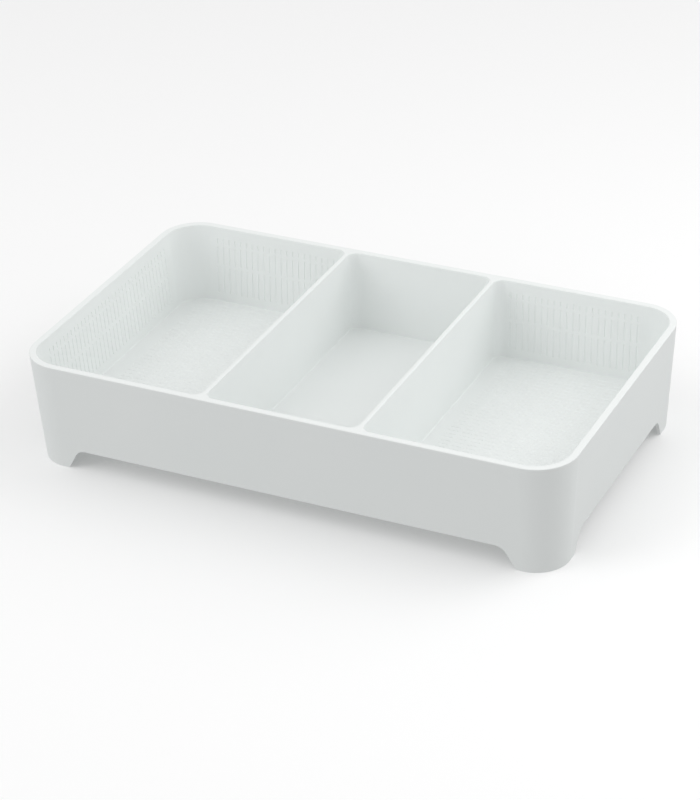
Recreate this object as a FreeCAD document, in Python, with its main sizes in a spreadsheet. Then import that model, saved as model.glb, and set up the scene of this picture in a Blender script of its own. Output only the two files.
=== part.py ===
import FreeCAD, Part
import math
import os
import Sketcher

# Drawer organizer: an open, three-compartment tray on four corner feet.
# A smooth outer casing carries the feet.  A thinner inner tray nests in it, seats on a ledge
# inside the casing and closes the top with its rim.  Two dividers slide down into shallow
# seats in the tray's walls and floor.
#
# Frame: +X along the length, +Y to the back, +Z up, millimetres.  The origin is the centre of
# the footprint, in the plane that the four feet stand on.

DIMENSIONS = {
    # overall, over the rim
    "length": 250.0,
    "width": 148.0,
    "height": 50.5,
    "corner_radius": 18.0,      # outer corner in plan, at the rim
    "wall_slope": 0.0655,       # every wall leans in by this much for each mm downwards
    # walls and rim
    "casing_wall": 1.6,
    "tray_wall": 1.4,
    "nest_gap": 0.1,            # between the casing's wall and the tray's wall
    "rim_height": 2.0,          # depth of the tray's rim, which covers the casing's edge
    "edge_round": 0.4,          # on the top edges
    # inside
    "pocket_depth": 37.4,
    "floor_thickness": 1.6,
    "floor_cove": 0.5,          # fillet between floor and walls
    # dividers
    "divider_offset": 35.75,    # centre of each divider from the middle of the tray
    "divider_thickness": 2.0,   # at the top
    "divider_slope": 0.012,     # each face leans out by this much for each mm downwards
    "divider_cove": 4.5,        # upright fillet where a divider meets the long walls
    "seat_margin": 0.5,         # of a seat beyond the coves of its divider, on each side
    "seat_depth": 0.7,          # of the shallow seat that takes a divider's foot and ends
    # feet
    "foot_height": 10.0,
    "long_foot": 17.5,          # of a foot along the long sides, measured at its tip
    "short_foot": 19.5,         # the same along the short sides
    "notch_angle": 60.0,        # slant of a foot's side from the horizontal, in degrees
    "notch_round": 6.0,         # fillet between that side and the skirt's edge
    # ledge that holds the tray
    "ledge_width": 3.5,
    "ledge_thickness": 1.5,
}

# Levels above the feet, as expressions on the spreadsheet.
RIM_TOP = "dims.height"
RIM_UNDERSIDE = "dims.height - dims.rim_height"
FLOOR_TOP = "dims.height - dims.pocket_depth"
FLOOR_UNDERSIDE = "dims.height - dims.pocket_depth - dims.floor_thickness"
LEDGE_UNDERSIDE = f"{FLOOR_UNDERSIDE} - dims.ledge_thickness"
FEET = "0 * dims.height"

# Insets from the sloping outer face.
OUTER_FACE = "0 * dims.height"
CASING_INSIDE = "dims.casing_wall"
TRAY_OUTSIDE = "dims.casing_wall + dims.nest_gap"
TRAY_INSIDE = "dims.casing_wall + dims.nest_gap + dims.tray_wall"
LEDGE_EDGE = "dims.casing_wall + dims.ledge_width"

# Half the thickness of a divider at its top and at the floor.
DIVIDER_TOP = "dims.divider_thickness / 2"
DIVIDER_FOOT = "dims.divider_thickness / 2 + dims.pocket_depth * dims.divider_slope"

TOLERANCE = 1e-4
CLEAR_ABOVE = 1.0               # how far a cutting shape stands above the rim

doc = FreeCAD.newDocument("drawer_organizer")


def make_sheet():
    """Write every driving dimension into the spreadsheet, with its name as alias."""
    sheet = doc.addObject("Spreadsheet::Sheet", "dims")
    for row, (name, value) in enumerate(DIMENSIONS.items(), start=1):
        sheet.set(f"A{row}", name)
        sheet.set(f"B{row}", str(value))
        sheet.setAlias(f"B{row}", name)
    doc.recompute()
    return sheet


dims = make_sheet()


def value_of(expression):
    """Evaluate an expression on the spreadsheet, for a sketch's first guess."""
    return float(dims.evalExpression(expression))


def lean(level, inset):
    """Distance from the rim's outline to a wall face at a level, as an expression."""
    return f"((dims.height - ({level})) * dims.wall_slope + {inset})"


# ---- sketches ---------------------------------------------------------------------------


def make_body(label):
    body = doc.addObject("PartDesign::Body", label)
    body.Label = label
    return body


def make_sketch(body, name, plane, level=None):
    """Attach a sketch to one of the body's origin planes, raised to a level if one is given."""
    sketch = body.newObject("Sketcher::SketchObject", name)
    support = next(item for item in body.Origin.OriginFeatures if item.Role == plane)
    sketch.AttachmentSupport = (support, "")
    sketch.MapMode = "FlatFace"
    if level is not None:
        sketch.setExpression("AttachmentOffset.Base.z", level)
    return sketch


def bind(sketch, constraint, expression):
    """Add a dimensional constraint and tie its value to the spreadsheet."""
    index = sketch.addConstraint(constraint)
    sketch.setExpression(f"Constraints[{index}]", expression)


def bind_x(sketch, edge, point, expression):
    position = value_of(expression)
    bind(sketch, Sketcher.Constraint("DistanceX", -1, 1, edge, point, position), expression)


def bind_y(sketch, edge, point, expression):
    position = value_of(expression)
    bind(sketch, Sketcher.Constraint("DistanceY", -1, 1, edge, point, position), expression)


def bind_radius(sketch, edge, expression):
    bind(sketch, Sketcher.Constraint("Radius", edge, value_of(expression)), expression)


def bind_angle(sketch, edge, expression):
    angle = math.radians(value_of(expression))
    bind(sketch, Sketcher.Constraint("Angle", edge, angle), f"({expression}) * 1 deg")


def line(start, end):
    return Part.LineSegment(FreeCAD.Vector(*start, 0), FreeCAD.Vector(*end, 0))


def arc(centre, radius, start_degrees, end_degrees):
    circle = Part.Circle(FreeCAD.Vector(*centre, 0), FreeCAD.Vector(0, 0, 1), radius)
    return Part.ArcOfCircle(circle, math.radians(start_degrees), math.radians(end_degrees))


def draw_rounded_rectangle(sketch, left, right, half_width, left_radius, right_radius):
    """Draw a rectangle with filleted corners from x = left to x = right, centred on y = 0.

    All five arguments are expressions.  The two corners at each end share a radius.
    """
    low, high, side = value_of(left), value_of(right), value_of(half_width)
    low_r, high_r = value_of(left_radius), value_of(right_radius)
    edges = [
        sketch.addGeometry(line((low + low_r, -side), (high - high_r, -side))),
        sketch.addGeometry(line((high, -side + high_r), (high, side - high_r))),
        sketch.addGeometry(line((high - high_r, side), (low + low_r, side))),
        sketch.addGeometry(line((low, side - low_r), (low, -side + low_r))),
    ]
    corners = [
        sketch.addGeometry(arc((high - high_r, -side + high_r), high_r, 270, 360)),
        sketch.addGeometry(arc((high - high_r, side - high_r), high_r, 0, 90)),
        sketch.addGeometry(arc((low + low_r, side - low_r), low_r, 90, 180)),
        sketch.addGeometry(arc((low + low_r, -side + low_r), low_r, 180, 270)),
    ]
    for number, corner in enumerate(corners):
        following = edges[(number + 1) % len(edges)]
        sketch.addConstraint(Sketcher.Constraint("Tangent", edges[number], 2, corner, 1))
        sketch.addConstraint(Sketcher.Constraint("Tangent", corner, 2, following, 1))
    front, right_end, back, left_end = edges
    for edge in (front, back):
        sketch.addConstraint(Sketcher.Constraint("Horizontal", edge))
    for edge in (right_end, left_end):
        sketch.addConstraint(Sketcher.Constraint("Vertical", edge))
    bind_x(sketch, left_end, 1, left)
    bind_x(sketch, right_end, 1, right)
    bind_y(sketch, back, 1, half_width)
    bind_y(sketch, front, 1, f"-({half_width})")
    for corner in corners[:2]:
        bind_radius(sketch, corner, right_radius)
    for corner in corners[2:]:
        bind_radius(sketch, corner, left_radius)


def draw_outline(sketch, level, inset):
    """Draw the plan outline as it is at a level, moved in from the outer face by an inset."""
    half_length = f"(dims.length / 2 - {lean(level, inset)})"
    half_width = f"(dims.width / 2 - {lean(level, inset)})"
    radius = f"(dims.corner_radius - {lean(level, inset)})"
    draw_rounded_rectangle(sketch, f"-{half_length}", half_length, half_width, radius, radius)


def draw_notch(sketch, half_span):
    """Draw the gap between two feet: slanted sides, filleted into a level upper edge."""
    span, top = value_of(half_span), value_of("dims.foot_height")
    radius, angle = value_of("dims.notch_round"), value_of("dims.notch_angle")
    slant = math.radians(angle)
    corner = span - top / math.tan(slant)
    reach = radius * math.tan(slant / 2)
    side_end = (corner + reach * math.cos(slant), top - reach * math.sin(slant))
    left_side = sketch.addGeometry(line((-span, 0), (-side_end[0], side_end[1])))
    left_round = sketch.addGeometry(arc((-corner + reach, top - radius), radius, 90, 90 + angle))
    upper_edge = sketch.addGeometry(line((-corner + reach, top), (corner - reach, top)))
    right_round = sketch.addGeometry(arc((corner - reach, top - radius), radius, 90 - angle, 90))
    right_side = sketch.addGeometry(line(side_end, (span, 0)))
    base = sketch.addGeometry(line((span, 0), (-span, 0)))
    for joint in (
        (left_side, 2, left_round, 2),
        (left_round, 1, upper_edge, 1),
        (upper_edge, 2, right_round, 2),
        (right_round, 1, right_side, 1),
    ):
        sketch.addConstraint(Sketcher.Constraint("Tangent", *joint))
    sketch.addConstraint(Sketcher.Constraint("Coincident", right_side, 2, base, 1))
    sketch.addConstraint(Sketcher.Constraint("Coincident", base, 2, left_side, 1))
    for point in (1, 2):
        sketch.addConstraint(Sketcher.Constraint("PointOnObject", base, point, -1))
    sketch.addConstraint(Sketcher.Constraint("Horizontal", upper_edge))
    sketch.addConstraint(Sketcher.Constraint("Equal", left_round, right_round))
    bind_radius(sketch, left_round, "dims.notch_round")
    bind_angle(sketch, left_side, "dims.notch_angle")
    bind_angle(sketch, right_side, "-dims.notch_angle")
    bind_y(sketch, upper_edge, 1, "dims.foot_height")
    bind_x(sketch, base, 1, half_span)
    bind_x(sketch, base, 2, f"-({half_span})")


def draw_trapezium(sketch, bottom, top, half_bottom, half_top):
    """Draw a four-sided outline, centred on the upright axis and wider at the top."""
    low, high = value_of(bottom), value_of(top)
    half_low, half_high = value_of(half_bottom), value_of(half_top)
    corners = [(-half_low, low), (half_low, low), (half_high, high), (-half_high, high)]
    edges = []
    for number, corner in enumerate(corners):
        edges.append(sketch.addGeometry(line(corner, corners[(number + 1) % 4])))
    for number, edge in enumerate(edges):
        following = edges[(number + 1) % 4]
        sketch.addConstraint(Sketcher.Constraint("Coincident", edge, 2, following, 1))
    across = [f"-({half_bottom})", half_bottom, half_top, f"-({half_top})"]
    up = [bottom, bottom, top, top]
    for edge, x_place, y_place in zip(edges, across, up):
        bind_x(sketch, edge, 1, x_place)
        bind_y(sketch, edge, 1, y_place)


# ---- features ---------------------------------------------------------------------------


def loft(body, kind, name, lower, upper):
    """Join two sketches by straight sides, adding to the body or cutting from it."""
    feature = body.newObject(kind, name)
    feature.Profile = lower
    feature.Sections = [upper]
    feature.Ruled = True
    doc.recompute()
    return feature


def sloping_block(body, kind, name, bottom, top, inset):
    """Loft the plan outline between two levels, so that its sides follow the walls' slope."""
    sketches = []
    for end, level in (("bottom", bottom), ("top", top)):
        sketch = make_sketch(body, f"{name}_{end}", "XY_Plane", level)
        draw_outline(sketch, level, inset)
        sketches.append(sketch)
    return loft(body, kind, name, *sketches)


def edges_at(feature, level):
    """Name the edges of a feature that lie wholly at one level."""
    height = value_of(level)
    names = []
    for number, edge in enumerate(feature.Shape.Edges, start=1):
        box = edge.BoundBox
        if abs(box.ZMin - height) < TOLERANCE and abs(box.ZMax - height) < TOLERANCE:
            names.append(f"Edge{number}")
    return names


def fillet(body, name, level, radius):
    """Round all the edges of the body that lie at one level."""
    base = body.Tip
    feature = body.newObject("PartDesign::Fillet", name)
    feature.Base = (base, edges_at(base, level))
    feature.setExpression("Radius", radius)
    doc.recompute()


# ---- outer casing -----------------------------------------------------------------------


def make_ledge(body):
    """Run a ledge round the inside of the casing, for the tray's floor to rest on."""
    sketch = make_sketch(body, "ledge_ring", "XY_Plane", LEDGE_UNDERSIDE)
    draw_outline(sketch, LEDGE_UNDERSIDE, "dims.casing_wall / 2")
    draw_outline(sketch, LEDGE_UNDERSIDE, LEDGE_EDGE)
    ledge = body.newObject("PartDesign::Pad", "ledge")
    ledge.Profile = sketch
    ledge.setExpression("Length", "dims.ledge_thickness")
    doc.recompute()


def cut_notch(body, name, plane, half_span):
    """Cut the skirt away between the feet, on a pair of opposite sides."""
    sketch = make_sketch(body, f"{name}_outline", plane)
    draw_notch(sketch, half_span)
    notch = body.newObject("PartDesign::Pocket", name)
    notch.Profile = sketch
    notch.Type = "ThroughAll"
    notch.Midplane = True
    doc.recompute()


def make_casing():
    """Mould the smooth outer wall, its ledge and its four corner feet as one ring."""
    body = make_body("outer_casing")
    sloping_block(body, "PartDesign::AdditiveLoft", "outside", FEET, RIM_UNDERSIDE, OUTER_FACE)
    sloping_block(body, "PartDesign::SubtractiveLoft", "inside", FEET, RIM_UNDERSIDE, CASING_INSIDE)
    make_ledge(body)
    long_span = f"dims.length / 2 - {lean(FEET, 'dims.long_foot')}"
    short_span = f"dims.width / 2 - {lean(FEET, 'dims.short_foot')}"
    cut_notch(body, "long_notches", "XZ_Plane", long_span)
    cut_notch(body, "short_notches", "YZ_Plane", short_span)
    return body


# ---- inner tray -------------------------------------------------------------------------


def cut_pocket(body, name, sides):
    """Cut one compartment.

    sides gives, for the rim and then for the floor, the expressions that
    draw_rounded_rectangle takes: left, right, half width, left radius and right radius.
    """
    sketches = []
    for end, level, outline in zip(("bottom", "top"), (FLOOR_TOP, RIM_TOP), reversed(sides)):
        sketch = make_sketch(body, f"{name}_{end}", "XY_Plane", level)
        draw_rounded_rectangle(sketch, *outline)
        sketches.append(sketch)
    loft(body, "PartDesign::SubtractiveLoft", name, *sketches)


def middle_outline(level, half_divider):
    """Plan of the middle compartment at a level, between the facing sides of the dividers."""
    half_length = f"(dims.divider_offset - ({half_divider}))"
    half_width = f"(dims.width / 2 - {lean(level, TRAY_INSIDE)})"
    return (f"-{half_length}", half_length, half_width, "dims.divider_cove", "dims.divider_cove")


def end_outline(level, half_divider, side):
    """Plan of the compartment at one end, from a divider to the short wall."""
    inner = f"(dims.divider_offset + {half_divider})"
    outer = f"(dims.length / 2 - {lean(level, TRAY_INSIDE)})"
    half_width = f"(dims.width / 2 - {lean(level, TRAY_INSIDE)})"
    corner = f"(dims.corner_radius - {lean(level, TRAY_INSIDE)})"
    if side > 0:
        return (inner, outer, half_width, "dims.divider_cove", corner)
    return (f"-{outer}", f"-{inner}", half_width, corner, "dims.divider_cove")


def make_tray_blank():
    """Mould the tray as if its dividers were one with it, so that every surface runs on."""
    body = make_body("tray_blank")
    sloping_block(body, "PartDesign::AdditiveLoft", "rim", RIM_UNDERSIDE, RIM_TOP, OUTER_FACE)
    sloping_block(
        body, "PartDesign::AdditiveLoft", "basin", FLOOR_UNDERSIDE, RIM_UNDERSIDE, TRAY_OUTSIDE
    )
    levels = ((RIM_TOP, DIVIDER_TOP), (FLOOR_TOP, DIVIDER_FOOT))
    cut_pocket(body, "middle_pocket", [middle_outline(*level) for level in levels])
    for name, side in (("left_pocket", -1), ("right_pocket", 1)):
        cut_pocket(body, name, [end_outline(*level, side) for level in levels])
    fillet(body, "floor_coves", FLOOR_TOP, "dims.floor_cove")
    fillet(body, "top_rounds", RIM_TOP, "dims.edge_round")
    return body


# ---- dividers and their seats -----------------------------------------------------------


def make_seat(label, side):
    """Shape the room that a divider takes, let into the tray's walls and floor."""
    body = make_body(label)
    sketch = make_sketch(body, f"{label}_profile", "YZ_Plane")
    bottom = f"{FLOOR_TOP} - dims.seat_depth"
    top = f"dims.height + {CLEAR_ABOVE}"
    reach = f"{TRAY_INSIDE} - dims.seat_depth"
    half_bottom = f"dims.width / 2 - {lean(bottom, reach)}"
    half_top = f"dims.width / 2 - {lean(top, reach)}"
    draw_trapezium(sketch, bottom, top, half_bottom, half_top)
    pad = body.newObject("PartDesign::Pad", f"{label}_room")
    pad.Profile = sketch
    pad.Midplane = True
    pad.setExpression("Length", "2 * (dims.divider_thickness / 2 + dims.divider_cove + dims.seat_margin)")
    body.setExpression("Placement.Base.x", f"{side} * dims.divider_offset")
    doc.recompute()
    return body


def make_boolean(kind, label, base, tool):
    feature = doc.addObject(kind, label)
    feature.Label = label
    feature.Base = base
    feature.Tool = tool
    doc.recompute()
    return feature


def make_tray_and_dividers():
    """Part the blank along the seats into the tray and its two dividers."""
    blank = make_tray_blank()
    seats = {"left_divider": make_seat("left_seat", -1), "right_divider": make_seat("right_seat", 1)}
    rooms = doc.addObject("Part::MultiFuse", "divider_rooms")
    rooms.Shapes = list(seats.values())
    tray = make_boolean("Part::Cut", "inner_tray", blank, rooms)
    dividers = [make_boolean("Part::Common", name, blank, seat) for name, seat in seats.items()]
    return [tray] + dividers


# ---- checks and export ------------------------------------------------------------------


def check_document():
    for item in doc.Objects:
        if "Invalid" in item.State or "Error" in item.State:
            raise RuntimeError(f"{item.Label} did not build: {item.State}")


def export(subparts):
    """Check each sub-part and write it to a STEP file that has its name."""
    os.makedirs("parts", exist_ok=True)
    for item in subparts:
        if item.Shape.isNull() or not item.Shape.isValid() or len(item.Shape.Solids) != 1:
            raise RuntimeError(f"{item.Label} is not one valid solid")
        item.Shape.exportStep(f"parts/{item.Label}.step")
        print(item.Label, round(item.Shape.Volume), "mm3")


casing = make_casing()
tray_and_dividers = make_tray_and_dividers()
doc.recompute()
check_document()
export([casing] + tray_and_dividers)
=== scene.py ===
import math

import bmesh
import bpy
from mathutils import Matrix, Vector
from mathutils.bvhtree import BVHTree


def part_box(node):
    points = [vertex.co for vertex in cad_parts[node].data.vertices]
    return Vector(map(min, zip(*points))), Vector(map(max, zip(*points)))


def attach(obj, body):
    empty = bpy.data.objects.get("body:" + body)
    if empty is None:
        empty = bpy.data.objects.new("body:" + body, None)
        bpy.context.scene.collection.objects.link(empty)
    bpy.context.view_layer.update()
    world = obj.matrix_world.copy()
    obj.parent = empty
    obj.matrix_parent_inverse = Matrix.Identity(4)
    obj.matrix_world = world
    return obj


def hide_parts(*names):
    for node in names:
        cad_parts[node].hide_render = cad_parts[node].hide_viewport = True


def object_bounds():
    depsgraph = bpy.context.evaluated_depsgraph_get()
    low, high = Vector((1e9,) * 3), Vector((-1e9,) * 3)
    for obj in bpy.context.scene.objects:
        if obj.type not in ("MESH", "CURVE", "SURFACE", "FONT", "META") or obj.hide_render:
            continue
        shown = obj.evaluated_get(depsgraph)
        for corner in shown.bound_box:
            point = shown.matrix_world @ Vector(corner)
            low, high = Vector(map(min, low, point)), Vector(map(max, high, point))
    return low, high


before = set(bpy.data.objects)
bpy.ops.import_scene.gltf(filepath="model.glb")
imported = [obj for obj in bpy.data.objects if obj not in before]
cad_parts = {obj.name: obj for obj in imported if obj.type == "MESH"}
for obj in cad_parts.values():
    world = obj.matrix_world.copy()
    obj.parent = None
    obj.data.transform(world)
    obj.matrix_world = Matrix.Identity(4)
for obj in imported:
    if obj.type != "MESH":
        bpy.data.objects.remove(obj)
cad_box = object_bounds()


# ---- Outer casing ----
# The plain ring that the insert stands on, cut away between its four corner feet.
# It is injection moulded in white high-impact polystyrene, and the tray drops into it from above
# until the tray's rim covers its top edge.

MM = 0.001
CASING_WHITE = "#EDF0EF"
CASING_SHADE = "#E9EDEC"


def linear(hex_colour):
    """The linear RGBA of an sRGB hex colour."""
    channels = [int(hex_colour[i:i + 2], 16) / 255 for i in (1, 3, 5)]
    return [c / 12.92 if c <= 0.04045 else ((c + 0.055) / 1.055) ** 2.4 for c in channels] + [1.0]


def add_node(tree, kind, links=None, values=None, **settings):
    """Adds a node; links gives the socket that feeds each input, and values each input's own number."""
    node = tree.nodes.new(kind)
    for name, setting in settings.items():
        setattr(node, name, setting)
    for name, value in (values or {}).items():
        node.inputs[name].default_value = value
    for name, source in (links or {}).items():
        tree.links.new(source, node.inputs[name])
    return node


def moulded_polystyrene(name, white, shade, roughness, gloss_change, grain, grain_depth):
    """White polystyrene from a spark-eroded mould: satin, finely grained, with a faint cloud
    in its tone and gloss where the melt cooled at different rates."""
    material = bpy.data.materials.new(name)
    material.use_nodes = True
    tree = material.node_tree
    tree.nodes.clear()
    place = add_node(tree, "ShaderNodeTexCoord").outputs["Object"]

    # Flow clouds are some 45 mm across, and drawn out by the melt's run.
    cloud = add_node(tree, "ShaderNodeTexNoise", {"Vector": place},
                     {"Scale": 1 / (45 * MM), "Detail": 2.0, "Roughness": 0.45, "Distortion": 0.6})
    tone = add_node(tree, "ShaderNodeMix", {"Factor": cloud.outputs["Fac"]}, data_type="RGBA")
    tone.inputs["A"].default_value = linear(shade)
    tone.inputs["B"].default_value = linear(white)
    gloss = add_node(tree, "ShaderNodeMapRange", {"Value": cloud.outputs["Fac"]},
                     {"To Min": roughness - gloss_change, "To Max": roughness + gloss_change})

    # The real grain is about 0.1 mm; it is drawn coarser so that it shows at all.
    grain_noise = add_node(tree, "ShaderNodeTexNoise", {"Vector": place},
                           {"Scale": 1 / grain, "Detail": 3.0, "Roughness": 0.6})
    # Walls of this thickness sink and swell by a few hundredths over 20 mm as they cool.
    sink = add_node(tree, "ShaderNodeTexNoise", {"Vector": place},
                    {"Scale": 1 / (20 * MM), "Detail": 1.0})
    waviness = add_node(tree, "ShaderNodeBump", {"Height": sink.outputs["Fac"]},
                        {"Strength": 1.0, "Distance": 0.03 * MM})
    surface = add_node(tree, "ShaderNodeBump",
                       {"Height": grain_noise.outputs["Fac"], "Normal": waviness.outputs["Normal"]},
                       {"Strength": 1.0, "Distance": grain_depth})

    plastic = add_node(tree, "ShaderNodeBsdfPrincipled",
                       {"Base Color": tone.outputs["Result"], "Roughness": gloss.outputs["Result"],
                        "Normal": surface.outputs["Normal"]},
                       {"IOR": 1.59})
    add_node(tree, "ShaderNodeOutputMaterial", {"Surface": plastic.outputs["BSDF"]})
    return material


casing_plastic = moulded_polystyrene("satin_polystyrene_casing", CASING_WHITE, CASING_SHADE,
                                     roughness=0.6, gloss_change=0.03,
                                     grain=0.8 * MM, grain_depth=0.004 * MM)
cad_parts["outer_casing"].material_slots[0].material = casing_plastic


# ---- Inner tray ----
# The lining that holds the three compartments, moulded in the same white plastic in one piece.
# Its two end compartments have short narrow slots pressed into their walls and floors by the mould,
# so that papers and cards don't cling to them; the middle one is smooth.

TRAY_WHITE = "#EDF0EF"
TRAY_SHADE = "#EAEDEC"
SLOT_WIDTH = 0.9 * MM
WALL_SLOT_DEPTH = 0.22 * MM
FLOOR_SLOT_DEPTH = 0.13 * MM
SLOT_DRAFT = 0.6
SLOT_CLEARANCE = 0.2 * MM
SLOT_PITCH = 3.0 * MM
WALL_ROWS = [(5.5 * MM, 8.3 * MM), (9.5 * MM, 18.5 * MM), (19.9 * MM, 33.0 * MM)]
COMPARTMENT_START = 43.5 * MM
WALL_COLUMNS = 21
END_WALL_COLUMNS = 35
FLOOR_SLOT_LENGTH = 5.0 * MM
FLOOR_STEP = 6.3 * MM
FLOOR_COLUMNS = 11
FLOOR_PITCH = 2.9 * MM
FLOOR_ROWS = 45
# A floor slot is left out where the floor's upward lean falls below this, at the rounded corners.
FLAT = 0.999
WELD_DISTANCE = 0.001 * MM
# Where the points of a slot's round end lie, in degrees from its long axis.
SLOT_END_ANGLES = (-90, -30, 30, 90)
SHARPEST_ROUNDING = math.radians(28)

low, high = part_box("inner_tray")
rim_level = high.z

tray_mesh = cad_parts["inner_tray"].data.copy()
work = bmesh.new()
work.from_mesh(tray_mesh)
bmesh.ops.remove_doubles(work, verts=work.verts, dist=WELD_DISTANCE)
tray_shape = BVHTree.FromBMesh(work)
work.to_mesh(tray_mesh)
work.free()


def face_point(start, direction):
    """Where a straight line first meets the tray, and the way that its surface faces there."""
    point, normal, _, _ = tray_shape.ray_cast(Vector(start), Vector(direction))
    return point, normal


def add_slot(cutter, first, last, normal, depth):
    """One slot from first to last: a long shape with round ends, narrower at its bottom."""
    along = (last - first).normalized()
    across = normal.cross(along)
    rings = []
    for height, share in ((SLOT_CLEARANCE, 1.0), (0.0, 1.0), (-depth, SLOT_DRAFT)):
        radius = SLOT_WIDTH / 2 * share
        ring = []
        for end, inward, turn in ((last, -1, 0), (first, 1, 180)):
            centre = end + along * (inward * SLOT_WIDTH / 2)
            for angle in SLOT_END_ANGLES:
                swing = math.radians(angle + turn)
                spot = centre + along * (radius * math.cos(swing)) + across * (radius * math.sin(swing))
                ring.append(cutter.verts.new(spot + normal * height))
        rings.append(ring)
    for upper, lower in zip(rings, rings[1:]):
        for i in range(len(upper)):
            j = (i + 1) % len(upper)
            cutter.faces.new((upper[i], lower[i], lower[j], upper[j]))
    cutter.faces.new(rings[0])
    cutter.faces.new(reversed(rings[-1]))


def wall_column(cutter, start, direction):
    """The slots above one another in a wall, at the column that a level line from start reaches."""
    for top, bottom in WALL_ROWS:
        first, normal = face_point((start[0], start[1], rim_level - bottom), direction)
        last, _ = face_point((start[0], start[1], rim_level - top), direction)
        add_slot(cutter, first, last, normal, WALL_SLOT_DEPTH)


cutter = bmesh.new()
for side in (-1, 1):
    for column in range(WALL_COLUMNS):
        x = side * (COMPARTMENT_START + column * SLOT_PITCH)
        wall_column(cutter, (x, 0), (0, 1, 0))
        wall_column(cutter, (x, 0), (0, -1, 0))
    for column in range(END_WALL_COLUMNS):
        y = (column - (END_WALL_COLUMNS - 1) / 2) * SLOT_PITCH
        wall_column(cutter, (side * COMPARTMENT_START, y), (side, 0, 0))
    for column in range(FLOOR_COLUMNS):
        near = COMPARTMENT_START + column * FLOOR_STEP
        for row in range(FLOOR_ROWS):
            y = (row - (FLOOR_ROWS - 1) / 2) * FLOOR_PITCH
            first, normal = face_point((side * near, y, rim_level), (0, 0, -1))
            last, end_normal = face_point((side * (near + FLOOR_SLOT_LENGTH), y, rim_level), (0, 0, -1))
            if min(normal.z, end_normal.z) > FLAT:
                add_slot(cutter, first, last, normal, FLOOR_SLOT_DEPTH)
bmesh.ops.recalc_face_normals(cutter, faces=cutter.faces)
cutter_mesh = bpy.data.meshes.new("slot_cutter")
cutter.to_mesh(cutter_mesh)
cutter.free()
slot_cutter = bpy.data.objects.new("slot_cutter", cutter_mesh)
bpy.context.scene.collection.objects.link(slot_cutter)

tray = bpy.data.objects.new("slotted_tray", tray_mesh)
bpy.context.scene.collection.objects.link(tray)
cut = tray.modifiers.new("slots", "BOOLEAN")
cut.operation = "DIFFERENCE"
cut.object = slot_cutter
cut.solver = "MANIFOLD"
bpy.context.view_layer.update()
cut_mesh = bpy.data.meshes.new_from_object(tray.evaluated_get(bpy.context.evaluated_depsgraph_get()))
tray.modifiers.remove(cut)
tray.data = cut_mesh
bpy.data.objects.remove(slot_cutter)

tray.data.attributes.remove(tray.data.attributes["custom_normal"])
tray.data.shade_smooth()
work = bmesh.new()
work.from_mesh(tray.data)
for edge in work.edges:
    edge.smooth = edge.calc_face_angle(0.0) < SHARPEST_ROUNDING
work.to_mesh(tray.data)
work.free()
even = tray.modifiers.new("even_shading", "WEIGHTED_NORMAL")
even.keep_sharp = True

tray_plastic = moulded_polystyrene("satin_polystyrene_tray", TRAY_WHITE, TRAY_SHADE,
                                   roughness=0.62, gloss_change=0.03,
                                   grain=0.8 * MM, grain_depth=0.004 * MM)
tray.data.materials.clear()
tray.data.materials.append(tray_plastic)
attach(tray, "root")
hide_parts("inner_tray")


# ---- Dividers ----
# Two upright walls across the tray, moulded apart and let into seats in its walls and floor.
# Their faces come from polished steel, so they are a little smoother than the tray.

divider_plastic = moulded_polystyrene("smooth_polystyrene_divider", TRAY_WHITE, TRAY_SHADE,
                                      roughness=0.6, gloss_change=0.02,
                                      grain=0.8 * MM, grain_depth=0.003 * MM)
for name in ("left_divider", "right_divider"):
    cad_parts[name].material_slots[0].material = divider_plastic


# ---- Floor and light ----
# A plain pale table in a bright even room, with soft square lamps round the tray: two close ones on
# its right and three larger ones further off.  The room's lower half stands in for the table's bounce.

FLOOR_WHITE = "#FBFBFB"
floor_paint = bpy.data.materials.new("matt_white_table")
floor_paint.use_nodes = True
paint = floor_paint.node_tree.nodes["Principled BSDF"]
paint.inputs["Base Color"].default_value = linear(FLOOR_WHITE)
paint.inputs["Roughness"].default_value = 0.9
paint.inputs["Specular IOR Level"].default_value = 0.2

FLOOR_REACH = 6.0
FLOOR_GAP = 0.01 * MM
work = bmesh.new()
bmesh.ops.create_circle(work, cap_ends=True, segments=96, radius=FLOOR_REACH)
floor_mesh = bpy.data.meshes.new("table")
work.to_mesh(floor_mesh)
work.free()
floor = bpy.data.objects.new("table", floor_mesh)
floor.location.z = cad_box[0].z - FLOOR_GAP
floor.data.materials.append(floor_paint)
bpy.context.scene.collection.objects.link(floor)
# The table doesn't throw its white back at the tray: the lower half of the room does that instead.
floor.visible_diffuse = False
floor.visible_shadow = False

ROOM_ABOVE = 0.74
ROOM_BELOW = 0.46
HORIZON_SOFTNESS = 0.05
world = bpy.data.worlds.new("studio")
world.use_nodes = True
room = world.node_tree
direction = add_node(room, "ShaderNodeTexCoord").outputs["Generated"]
height = add_node(room, "ShaderNodeSeparateXYZ", {"Vector": direction}).outputs["Z"]
strength = add_node(room, "ShaderNodeMapRange", {"Value": height},
                    {"From Min": -HORIZON_SOFTNESS, "From Max": 0.0,
                     "To Min": ROOM_BELOW, "To Max": ROOM_ABOVE})
room.nodes["Background"].inputs["Color"].default_value = (1, 1, 1, 1)
room.links.new(strength.outputs["Result"], room.nodes["Background"].inputs["Strength"])
bpy.context.scene.world = world

centre = (cad_box[0] + cad_box[1]) / 2
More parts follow.
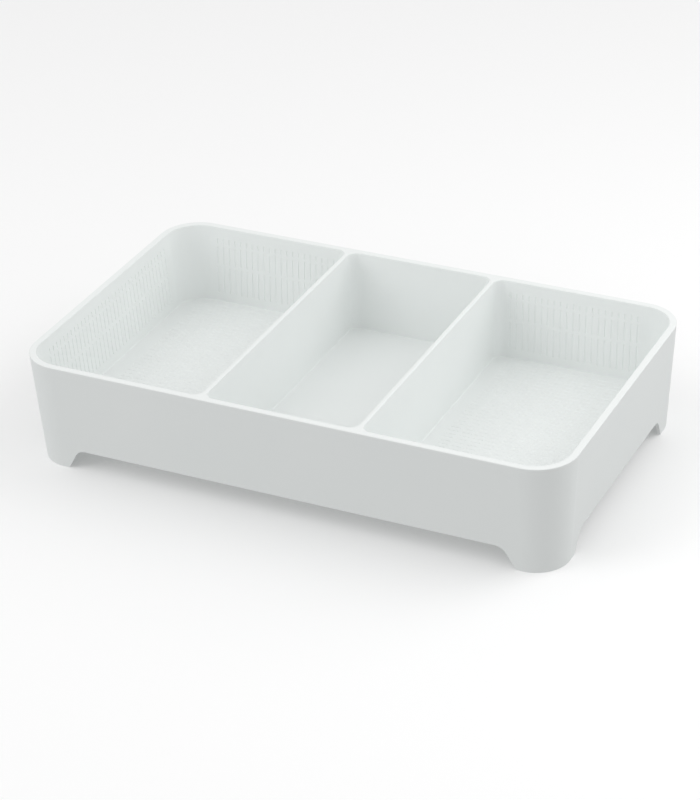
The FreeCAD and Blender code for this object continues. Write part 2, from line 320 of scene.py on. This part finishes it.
# Each lamp's bearing and height in degrees, distance and width in metres, and power in watts.
LAMPS = {
    "lamp_above_right": (110, 50, 0.6, 0.3, 0.45),
    "lamp_low_right": (90, 28, 0.6, 0.3, 0.18),
    "lamp_back_right": (135, 30, 1.6, 0.9, 3.0),
    "lamp_front_left": (315, 30, 1.6, 0.9, 3.9),
    "lamp_above_left": (315, 58, 1.6, 0.9, 2.2),
}


def add_lamp(name, azimuth, elevation, distance, size, power):
    """A square soft lamp that looks at the tray from that way round and height."""
    light = bpy.data.lights.new(name, "AREA")
    light.shape = "SQUARE"
    light.size = size
    light.energy = power
    lamp = bpy.data.objects.new(name, light)
    turn, rise = math.radians(azimuth), math.radians(elevation)
    away = Vector((math.sin(turn) * math.cos(rise), -math.cos(turn) * math.cos(rise), math.sin(rise)))
    lamp.location = centre + away * distance
    lamp.rotation_euler = (-away).to_track_quat("-Z", "Y").to_euler()
    bpy.context.scene.collection.objects.link(lamp)


for name, settings in LAMPS.items():
    add_lamp(name, *settings)


# ---- Camera ----
# It looks down on the tray from the front right, from about a metre away, through a long lens.

CAMERA_PLACE = (0.4477, -0.8962, 0.5966)
CAMERA_TURN = 26.69
CAMERA_RISE = 29.99
CAMERA_ROLL = -2.33
CAMERA_LENS = 119.9

turn, rise, roll = math.radians(CAMERA_TURN), math.radians(CAMERA_RISE), math.radians(CAMERA_ROLL)
back = Vector((math.sin(turn) * math.cos(rise), -math.cos(turn) * math.cos(rise), math.sin(rise)))
right = Vector((math.cos(turn), math.sin(turn), 0))
up = back.cross(right)
rolled_right = right * math.cos(roll) + up * math.sin(roll)
rolled_up = up * math.cos(roll) - right * math.sin(roll)
camera = bpy.data.objects.new("camera", bpy.data.cameras.new("camera"))
camera.data.lens = CAMERA_LENS
facing = Matrix((rolled_right, rolled_up, back)).transposed().to_4x4()
camera.matrix_world = Matrix.Translation(CAMERA_PLACE) @ facing
bpy.context.scene.collection.objects.link(camera)
bpy.context.scene.camera = camera
bpy.context.scene.view_settings.view_transform = "Standard"
